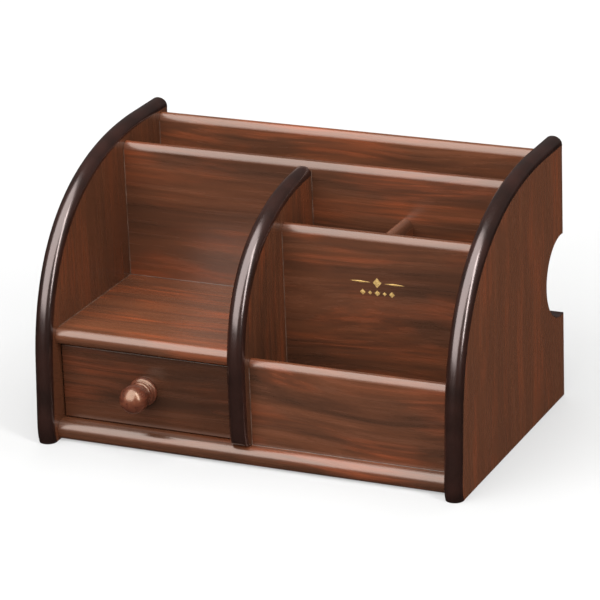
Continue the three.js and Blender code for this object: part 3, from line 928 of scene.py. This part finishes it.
def knob_profile():
    """Radii and distances ahead of the drawer front, from the bottom of the screw bore to the ball's tip."""
    flange, length = KNOB["flange_radius"], KNOB["flange_length"]
    ring, neck, neck_at = KNOB["ring_radius"], KNOB["neck_radius"], KNOB["neck_at"]
    ring_at = length + KNOB["bead_gap"]
    base_round, rim_round, bead_round = KNOB["base_round"], KNOB["rim_round"], KNOB["bead_round"]
    ball, ball_at = KNOB["ball_radius"], KNOB["ball_at"]
    profile = [(0, KNOB["bore_depth"]), (KNOB["bore_radius"], KNOB["bore_depth"]), (KNOB["bore_radius"], 0)]
    profile += arc((flange - base_round, base_round), base_round, -90, 0, 6)
    profile += arc((flange - rim_round, length - 1.5), rim_round, 0, 78, 10)
    profile += [(ring - 0.75, length + 0.25)]
    profile += arc((ring - bead_round, ring_at), bead_round, -70, 80, 12)
    cove_top = (ring - 1.2, ring_at + 0.75)
    cove = [cove_top, (neck, ring_at + 1.0), (neck, neck_at - 0.8)]
    cove_steps, ball_steps = 8, 40
    profile += [tuple(bezier(cove, step / cove_steps)) for step in range(1, cove_steps + 1)]
    start = math.degrees(math.asin((neck + 0.3) / ball))
    for step in range(ball_steps + 1):
        angle = math.radians(start + (180 - start) * step / ball_steps)
        profile.append((ball * math.sin(angle), ball_at - ball * math.cos(angle)))
    return profile


def lathed_piece(name, profile, sides, seat, axis, material, body, slot, recess=(), ripple=None):
    """A turned piece in its place, with the arms of its recess cut one after the other."""
    shell = lathe(Shell(), profile, sides, seat, axis, ripple=ripple)
    piece = add_object(name + "_look", shell.mesh(name + "_look"))
    for arm in recess:
        carve(piece, arm)
    return finish_piece(piece, [material], body, slot, name)


def cross_recess(seat, axis, width, length, depth):
    """Phillips recess: two tapered slots that cross, sunk from seat along the axis, as one shell each."""
    axis = Vector(axis)
    across = axis.orthogonal().normalized()
    arms = []
    for arm, side in ((across, axis.cross(across)), (axis.cross(across), -across)):
        shell = Shell()
        mouth, floor = [], []
        for u, v in ((-1, -1), (1, -1), (1, 1), (-1, 1)):
            spread = arm * (u * length / 2) + side * (v * width / 2)
            mouth.append(Vector(seat) - axis * 0.5 + spread)
            floor.append(Vector(seat) + axis * depth + arm * (u * length * 0.22) + side * (v * width * 0.4))
        mouth_row, floor_row = shell.row(mouth), shell.row(floor)
        shell.bridge(mouth_row, floor_row, closed=True)
        shell.face(mouth_row)
        shell.face(floor_row)
        arms.append(shell)
    return arms


TO_FRONT = (0, -1, 0)
knob_low, knob_high = box_mm("drawer_knob")
knob_x = (knob_low.x + knob_high.x) / 2
knob_z = (knob_low.z + knob_high.z) / 2
lathed_piece(
    "drawer_knob",
    knob_profile(),
    SIDES["knob"],
    (knob_x, knob_high.y, knob_z),
    TO_FRONT,
    TURNED,
    "drawer",
    "turned_knob",
)


def domed_head(radius, height):
    """Profile of a pan head from its crown to the underside of its rim."""
    steps = 10
    angles = [math.radians(90 * step / steps) for step in range(steps + 1)]
    return [(radius * math.sin(angle), -height * math.cos(angle)) for angle in angles]


screw_low, screw_high = box_mm("knob_screw")
screw_seat = Vector((knob_x, screw_high.y - KNOB_SCREW["head_height"], knob_z))
shank_end = screw_seat.y - screw_low.y
lathed_piece(
    "knob_screw",
    domed_head(KNOB_SCREW["head_radius"], KNOB_SCREW["head_height"])
    + [(KNOB_SCREW["radius"], 0), (KNOB_SCREW["radius"], shank_end - 1.5), (0, shank_end)],
    SIDES["knob_screw"],
    screw_seat,
    TO_FRONT,
    ZINC,
    "drawer",
    "zinc_steel",
    recess=cross_recess(screw_seat + Vector((0, KNOB_SCREW["head_height"], 0)), TO_FRONT, 0.9, 4.2, 1.5),
)


# ---- Fasteners -------------------------------------------


def thread(angle, radius, height):
    """Ridge of a coarse wood-screw thread on the shank, none on the head or at the tip."""
    turns = height / WOOD_SCREW["pitch"] - angle / (2 * math.pi)
    ridge = 1 - abs(2 * (turns % 1) - 1)
    on_shank = height > WOOD_SCREW["head_height"] + WOOD_SCREW["plain"] and radius > 0.3
    return WOOD_SCREW["thread"] * ridge ** 2 * on_shank


def wood_screw(name):
    """Countersunk screw up through the base board, its head at the floor side."""
    low, high = box_mm(name)
    seat = Vector(((low.x + high.x) / 2, (low.y + high.y) / 2, low.z))
    length = high.z - low.z
    head, shank = WOOD_SCREW["head_radius"], WOOD_SCREW["radius"]
    profile = [(0, 0), (head - 0.15, 0), (head, 0.12), (head, WOOD_SCREW["rim"])]
    profile.append((shank, WOOD_SCREW["head_height"]))
    thread_start = WOOD_SCREW["head_height"] + WOOD_SCREW["plain"]
    taper = length - WOOD_SCREW["tip"]
    steps = 90
    for step in range(steps):
        height = thread_start + (length - 0.3 - thread_start) * step / steps
        radius = shank if height < taper else shank * (length - height) / WOOD_SCREW["tip"]
        profile.append((max(radius - 0.25, 0.25), height))
    profile.append((0, length))
    arms = cross_recess(seat, UP, 0.8, 4.0, 1.8)
    lathed_piece(name, profile, SIDES["wood_screw"], seat, UP, ZINC, "carcass", "zinc_steel", arms, thread)


def brad(name):
    """Thin nail with a flat head, driven sideways into the drawer front or back."""
    low, high = box_mm(name)
    from_left = "_left_" in name
    axis = (1, 0, 0) if from_left else (-1, 0, 0)
    seat = ((low.x if from_left else high.x), (low.y + high.y) / 2, (low.z + high.z) / 2)
    length = high.x - low.x
    head, shank = BRAD["head_radius"], BRAD["radius"]
    profile = [(0, 0), (head - 0.12, 0), (head, 0.12)]
    profile += [(head, BRAD["head_height"]), (shank, BRAD["head_height"])]
    profile += [(shank, length - BRAD["tip"]), (0, length)]
    lathed_piece(name, profile, SIDES["brad"], seat, axis, ZINC, "drawer", "zinc_steel")


def flutes(angle, radius, height):
    """Shallow grooves along a dowel."""
    return -0.12 * max(0.0, math.cos(12 * angle)) * (radius > 1)


def dowel(name):
    """Fluted dowel with chamfered ends."""
    low, high = box_mm(name)
    size = high - low
    axis_index = max(range(3), key=lambda i: size[i])
    axis = tuple(float(i == axis_index) for i in range(3))
    half, radius = size[axis_index] / 2, min(size) / 2
    chamfer = 0.6
    profile = [(0, -half), (radius - chamfer, -half), (radius, chamfer - half)]
    profile += [(radius, half - chamfer), (radius - chamfer, half), (0, half)]
    seat = (low + high) / 2
    lathed_piece(name, profile, SIDES["dowel"], seat, axis, BEECH, "carcass", "beech_dowel", ripple=flutes)


for node in FASTENERS:
    if node.startswith("dowel_"):
        dowel(node)
    elif node.startswith("screw_"):
        wood_screw(node)
    elif node.startswith("brad_"):
        brad(node)


# ---- Glue lines, paler as a painted highlight ------------

SEAM = 0.32  # how far a bead reaches from its corner


def seam(name, start, end, side_a, side_b):
    """A thin concave bead along an inner corner, from start to end, reaching out along side_a and side_b."""
    side_a, side_b = Vector(side_a), Vector(side_b)
    shell = Shell()
    rows = []
    for corner in (Vector(start), Vector(end)):
        ring = [corner, corner + side_a * SEAM]
        for u, v in arc((1, 1), 1, 270, 180, 6)[1:-1]:
            ring.append(corner + (side_a * u + side_b * v) * SEAM)
        ring.append(corner + side_b * SEAM)
        rows.append(shell.row(ring))
    shell.bridge(rows[0], rows[1], closed=True)
    shell.face(rows[0])
    shell.face(rows[1])
    piece = add_object(name, shell.mesh(name))
    piece.data.materials.append(GLUE_AND_HIGHLIGHT)
    piece.data.shade_smooth()
    piece.data.set_sharp_from_angle(angle=math.radians(SEAM_SHARP))
    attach(piece, "carcass")


def seams():
    """Beads up the inner corners of the panels and along the shelf and the base."""
    shelf_low, shelf_high = box_mm("drawer_shelf")
    base_top = box_mm("base_board")[1].z
    divider_low, divider_high = box_mm("centre_divider")
    left = box_mm("left_end_panel")[1].x
    right = box_mm("right_end_panel")[0].x
    faces = {name: box_mm(name + "_panel")[0].y for name in ("partition", "rear", "mid", "front_lip")}
    tops = {}
    for name in faces:
        low, high = box_mm(name + "_panel")
        tops[name] = high.z - CREST_DROP * (high.y - low.y) / 2
    ahead, up, to_right, to_left = (0, -1, 0), (0, 0, 1), (1, 0, 0), (-1, 0, 0)
    uprights = [
        ("left_partition", left, "partition", shelf_high.z, to_right),
        ("left_rear", left, "rear", base_top, to_right),
        ("right_rear", right, "rear", base_top, to_left),
        ("right_partition", right, "partition", base_top, to_left),
        ("right_mid", right, "mid", base_top, to_left),
        ("right_lip", right, "front_lip", base_top, to_left),
        ("divider_shelf_partition", divider_low.x, "partition", shelf_high.z, to_left),
        ("divider_partition", divider_high.x, "partition", base_top, to_right),
        ("divider_mid", divider_high.x, "mid", base_top, to_right),
        ("divider_lip", divider_high.x, "front_lip", base_top, to_right),
    ]
    for name, x, panel, low, side in uprights:
        seam("seam_" + name, (x, faces[panel], low), (x, faces[panel], tops[panel]), side, ahead)
    back = faces["partition"]
    nose = shelf_low.y + (shelf_high.z - shelf_low.z) / 2
    inner, top = divider_low.x, shelf_high.z
    seam("seam_left_shelf", (left, nose, top), (left, back, top), to_right, up)
    seam("seam_divider_shelf", (inner, nose, top), (inner, back, top), to_left, up)
    seam("seam_shelf_partition", (left, back, top), (inner, back, top), ahead, up)
    front = faces["front_lip"]
    seam("seam_base_lip", (divider_high.x, front, base_top), (right, front, base_top), ahead, up)


seams()


# ---- Ornament --------------------------------------------

# A plain gold ornament on the middle panel: a lozenge between two rules, and a row of small lozenges below.
ORNAMENT = {
    "middle": 70.3,
    "height": 119.0,
    "span": 41.0,
    "relief": 0.12,
    "lift": 0.005,  # clearance that keeps it off the film
    "centre": (3.2, 3.6),  # half width and half height of the large lozenge
    "rule_start": 5.0,
    "rule": 0.75,
    "drop": 7.5,
    "pitch": 5.4,
    "sizes": (2.1, 1.5),  # half sizes of the small lozenges, by turns
}


def facet(shell, x, z, half_width, half_height, y, relief):
    """A lozenge with a low raised centre, closed at the back."""
    tips = [(x - half_width, z), (x, z - half_height), (x + half_width, z), (x, z + half_height)]
    rim = shell.row([(u, y, v) for u, v in tips])
    crown = shell.row([(x, y - relief, z)])[0]
    for a, b in zip(rim, rim[1:] + rim[:1]):
        shell.face([a, b, crown])
    shell.face(rim)


def ornament():
    y = box_mm("mid_panel")[0].y - ORNAMENT["lift"]
    shell = Shell()
    middle, height, relief = ORNAMENT["middle"], ORNAMENT["height"], ORNAMENT["relief"]
    start, reach = ORNAMENT["rule_start"], ORNAMENT["span"] / 2
    facet(shell, middle, height, *ORNAMENT["centre"], y, relief)
    for side in (-1, 1):
        x = middle + side * (reach + start) / 2
        facet(shell, x, height, (reach - start) / 2, ORNAMENT["rule"], y, relief)
    for place in (-2, -1, 0, 1, 2):
        size = ORNAMENT["sizes"][place % 2]
        facet(shell, middle + place * ORNAMENT["pitch"], height - ORNAMENT["drop"], size, size, y, relief)
    piece = add_object("gold_ornament", shell.mesh("gold_ornament"))
    piece.data.materials.append(GOLD)
    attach(piece, "carcass")


ornament()


# ---- Floor, light and camera -----------------------------

STAGE = {"rings": (0.0, 500.0, 1500.0, 3000.0), "radius": 5500.0, "cove": 500.0, "wall": 1300.0, "sides": 96}


def stage_floor():
    """Round floor that curves up into a low wall."""
    radius, cove = STAGE["radius"], STAGE["cove"]
    profile = [(reach, 0.0) for reach in STAGE["rings"]]
    profile += arc((radius, cove), cove, -90, 0, 12)
    profile.append((radius + cove, STAGE["wall"]))
    shell = lathe(Shell(), profile, STAGE["sides"], (0, 0, 0), UP)
    mesh = shell.mesh("floor")
    floor = add_object("floor", mesh)
    if mesh.polygons[0].normal.z < 0:
        mesh.flip_normals()
    mesh.shade_smooth()
    mesh.materials.append(pale_floor("pale_floor"))
    floor.location.z = cad_low.z
    floor.visible_glossy = False


def heading(azimuth, elevation):
    """Direction of a point seen from the object: azimuth 0 is the front, and 90 the right, in degrees."""
    azimuth, elevation = math.radians(azimuth), math.radians(elevation)
    level = math.cos(elevation)
    return Vector((math.sin(azimuth) * level, -math.cos(azimuth) * level, math.sin(elevation)))


# Area lights: azimuth and elevation in degrees, distance, width and height in metres, and power in watts.
LIGHTS = {
    "key": (-14, 51, 1.6, 2.1, 2.8, 114),
    "right_strip": (64, 37, 1.7, 0.3, 1.8, 34),
    "back_fill": (180, 58, 1.6, 1.6, 1.2, 30),
}
WORLD_STRENGTH = 0.13
WORLD_BELOW = 0.15  # brightness of the world at the horizon and below
WORLD_RISE = 0.12  # height of the direction at which it is at its brightest


def softbox(name, azimuth, elevation, distance, width, height, power):
    """A soft area light that looks at the middle of the object."""
    light = bpy.data.lights.new(name, "AREA")
    light.shape = "RECTANGLE"
    light.size = width
    light.size_y = height
    light.energy = power
    lamp = bpy.data.objects.new(name, light)
    bpy.context.scene.collection.objects.link(lamp)
    towards = heading(azimuth, elevation).normalized()
    lamp.location = (cad_low + cad_high) / 2 + towards * distance
    lamp.rotation_mode = "QUATERNION"
    lamp.rotation_quaternion = towards.to_track_quat("Z", "Y")
    lamp.visible_camera = False
    return lamp


def studio_light():
    """A dim world, darker below, and the area lights. The one behind leaves no highlights."""
    world = bpy.data.worlds.new("studio")
    world.use_nodes = True
    tree = world.node_tree
    background = tree.nodes["Background"]
    background.inputs["Strength"].default_value = WORLD_STRENGTH
    parts = tree.nodes.new("ShaderNodeSeparateXYZ")
    tree.links.new(tree.nodes.new("ShaderNodeTexCoord").outputs["Generated"], parts.inputs[0])
    ramp = tree.nodes.new("ShaderNodeValToRGB")
    below, above = ramp.color_ramp.elements
    below.position, below.color = 0.0, (WORLD_BELOW, WORLD_BELOW, WORLD_BELOW, 1.0)
    above.position, above.color = WORLD_RISE, (1.0, 1.0, 1.0, 1.0)
    tree.links.new(parts.outputs["Z"], ramp.inputs[0])
    tree.links.new(ramp.outputs[0], background.inputs["Color"])
    bpy.context.scene.world = world
    lamps = {name: softbox(name, *light) for name, light in LIGHTS.items()}
    lamps["back_fill"].visible_glossy = False


# The camera looks down at the organiser from the front right, with a long lens.
CAMERA = {
    "azimuth": 24.683,
    "elevation": 20.517,
    "roll": -2.202,
    "lens": 202.06,
    "distance": 2352.9,
    "target": (0.0, 90.0, 80.0),  # millimetres, with y measured behind the end panels' foremost edge
    "slide_right": 6.24,
    "slide_up": 13.93,
    "sensor": 36,
    "clip": (0.05, 50),  # metres
}


def add_camera():
    azimuth, roll = math.radians(CAMERA["azimuth"]), math.radians(CAMERA["roll"])
    back = heading(CAMERA["azimuth"], CAMERA["elevation"])
    level_right = Vector((math.cos(azimuth), math.sin(azimuth), 0))
    level_up = back.cross(level_right)
    right = level_right * math.cos(roll) + level_up * math.sin(roll)
    up = level_up * math.cos(roll) - level_right * math.sin(roll)
    data = bpy.data.cameras.new("camera")
    data.sensor_width = CAMERA["sensor"]
    data.lens = CAMERA["lens"]
    data.clip_start, data.clip_end = CAMERA["clip"]
    camera = bpy.data.objects.new("camera", data)
    bpy.context.scene.collection.objects.link(camera)
    target = Vector(CAMERA["target"]) + Vector((0, BACK_SHIFT, 0))
    place = target + right * CAMERA["slide_right"] + up * CAMERA["slide_up"] + back * CAMERA["distance"]
    turn = Matrix((right, up, back)).transposed()
    camera.matrix_world = Matrix.Translation(place * MM) @ turn.to_4x4()
    bpy.context.scene.camera = camera


stage_floor()
studio_light()
add_camera()
bpy.context.scene.view_settings.view_transform = "Standard"
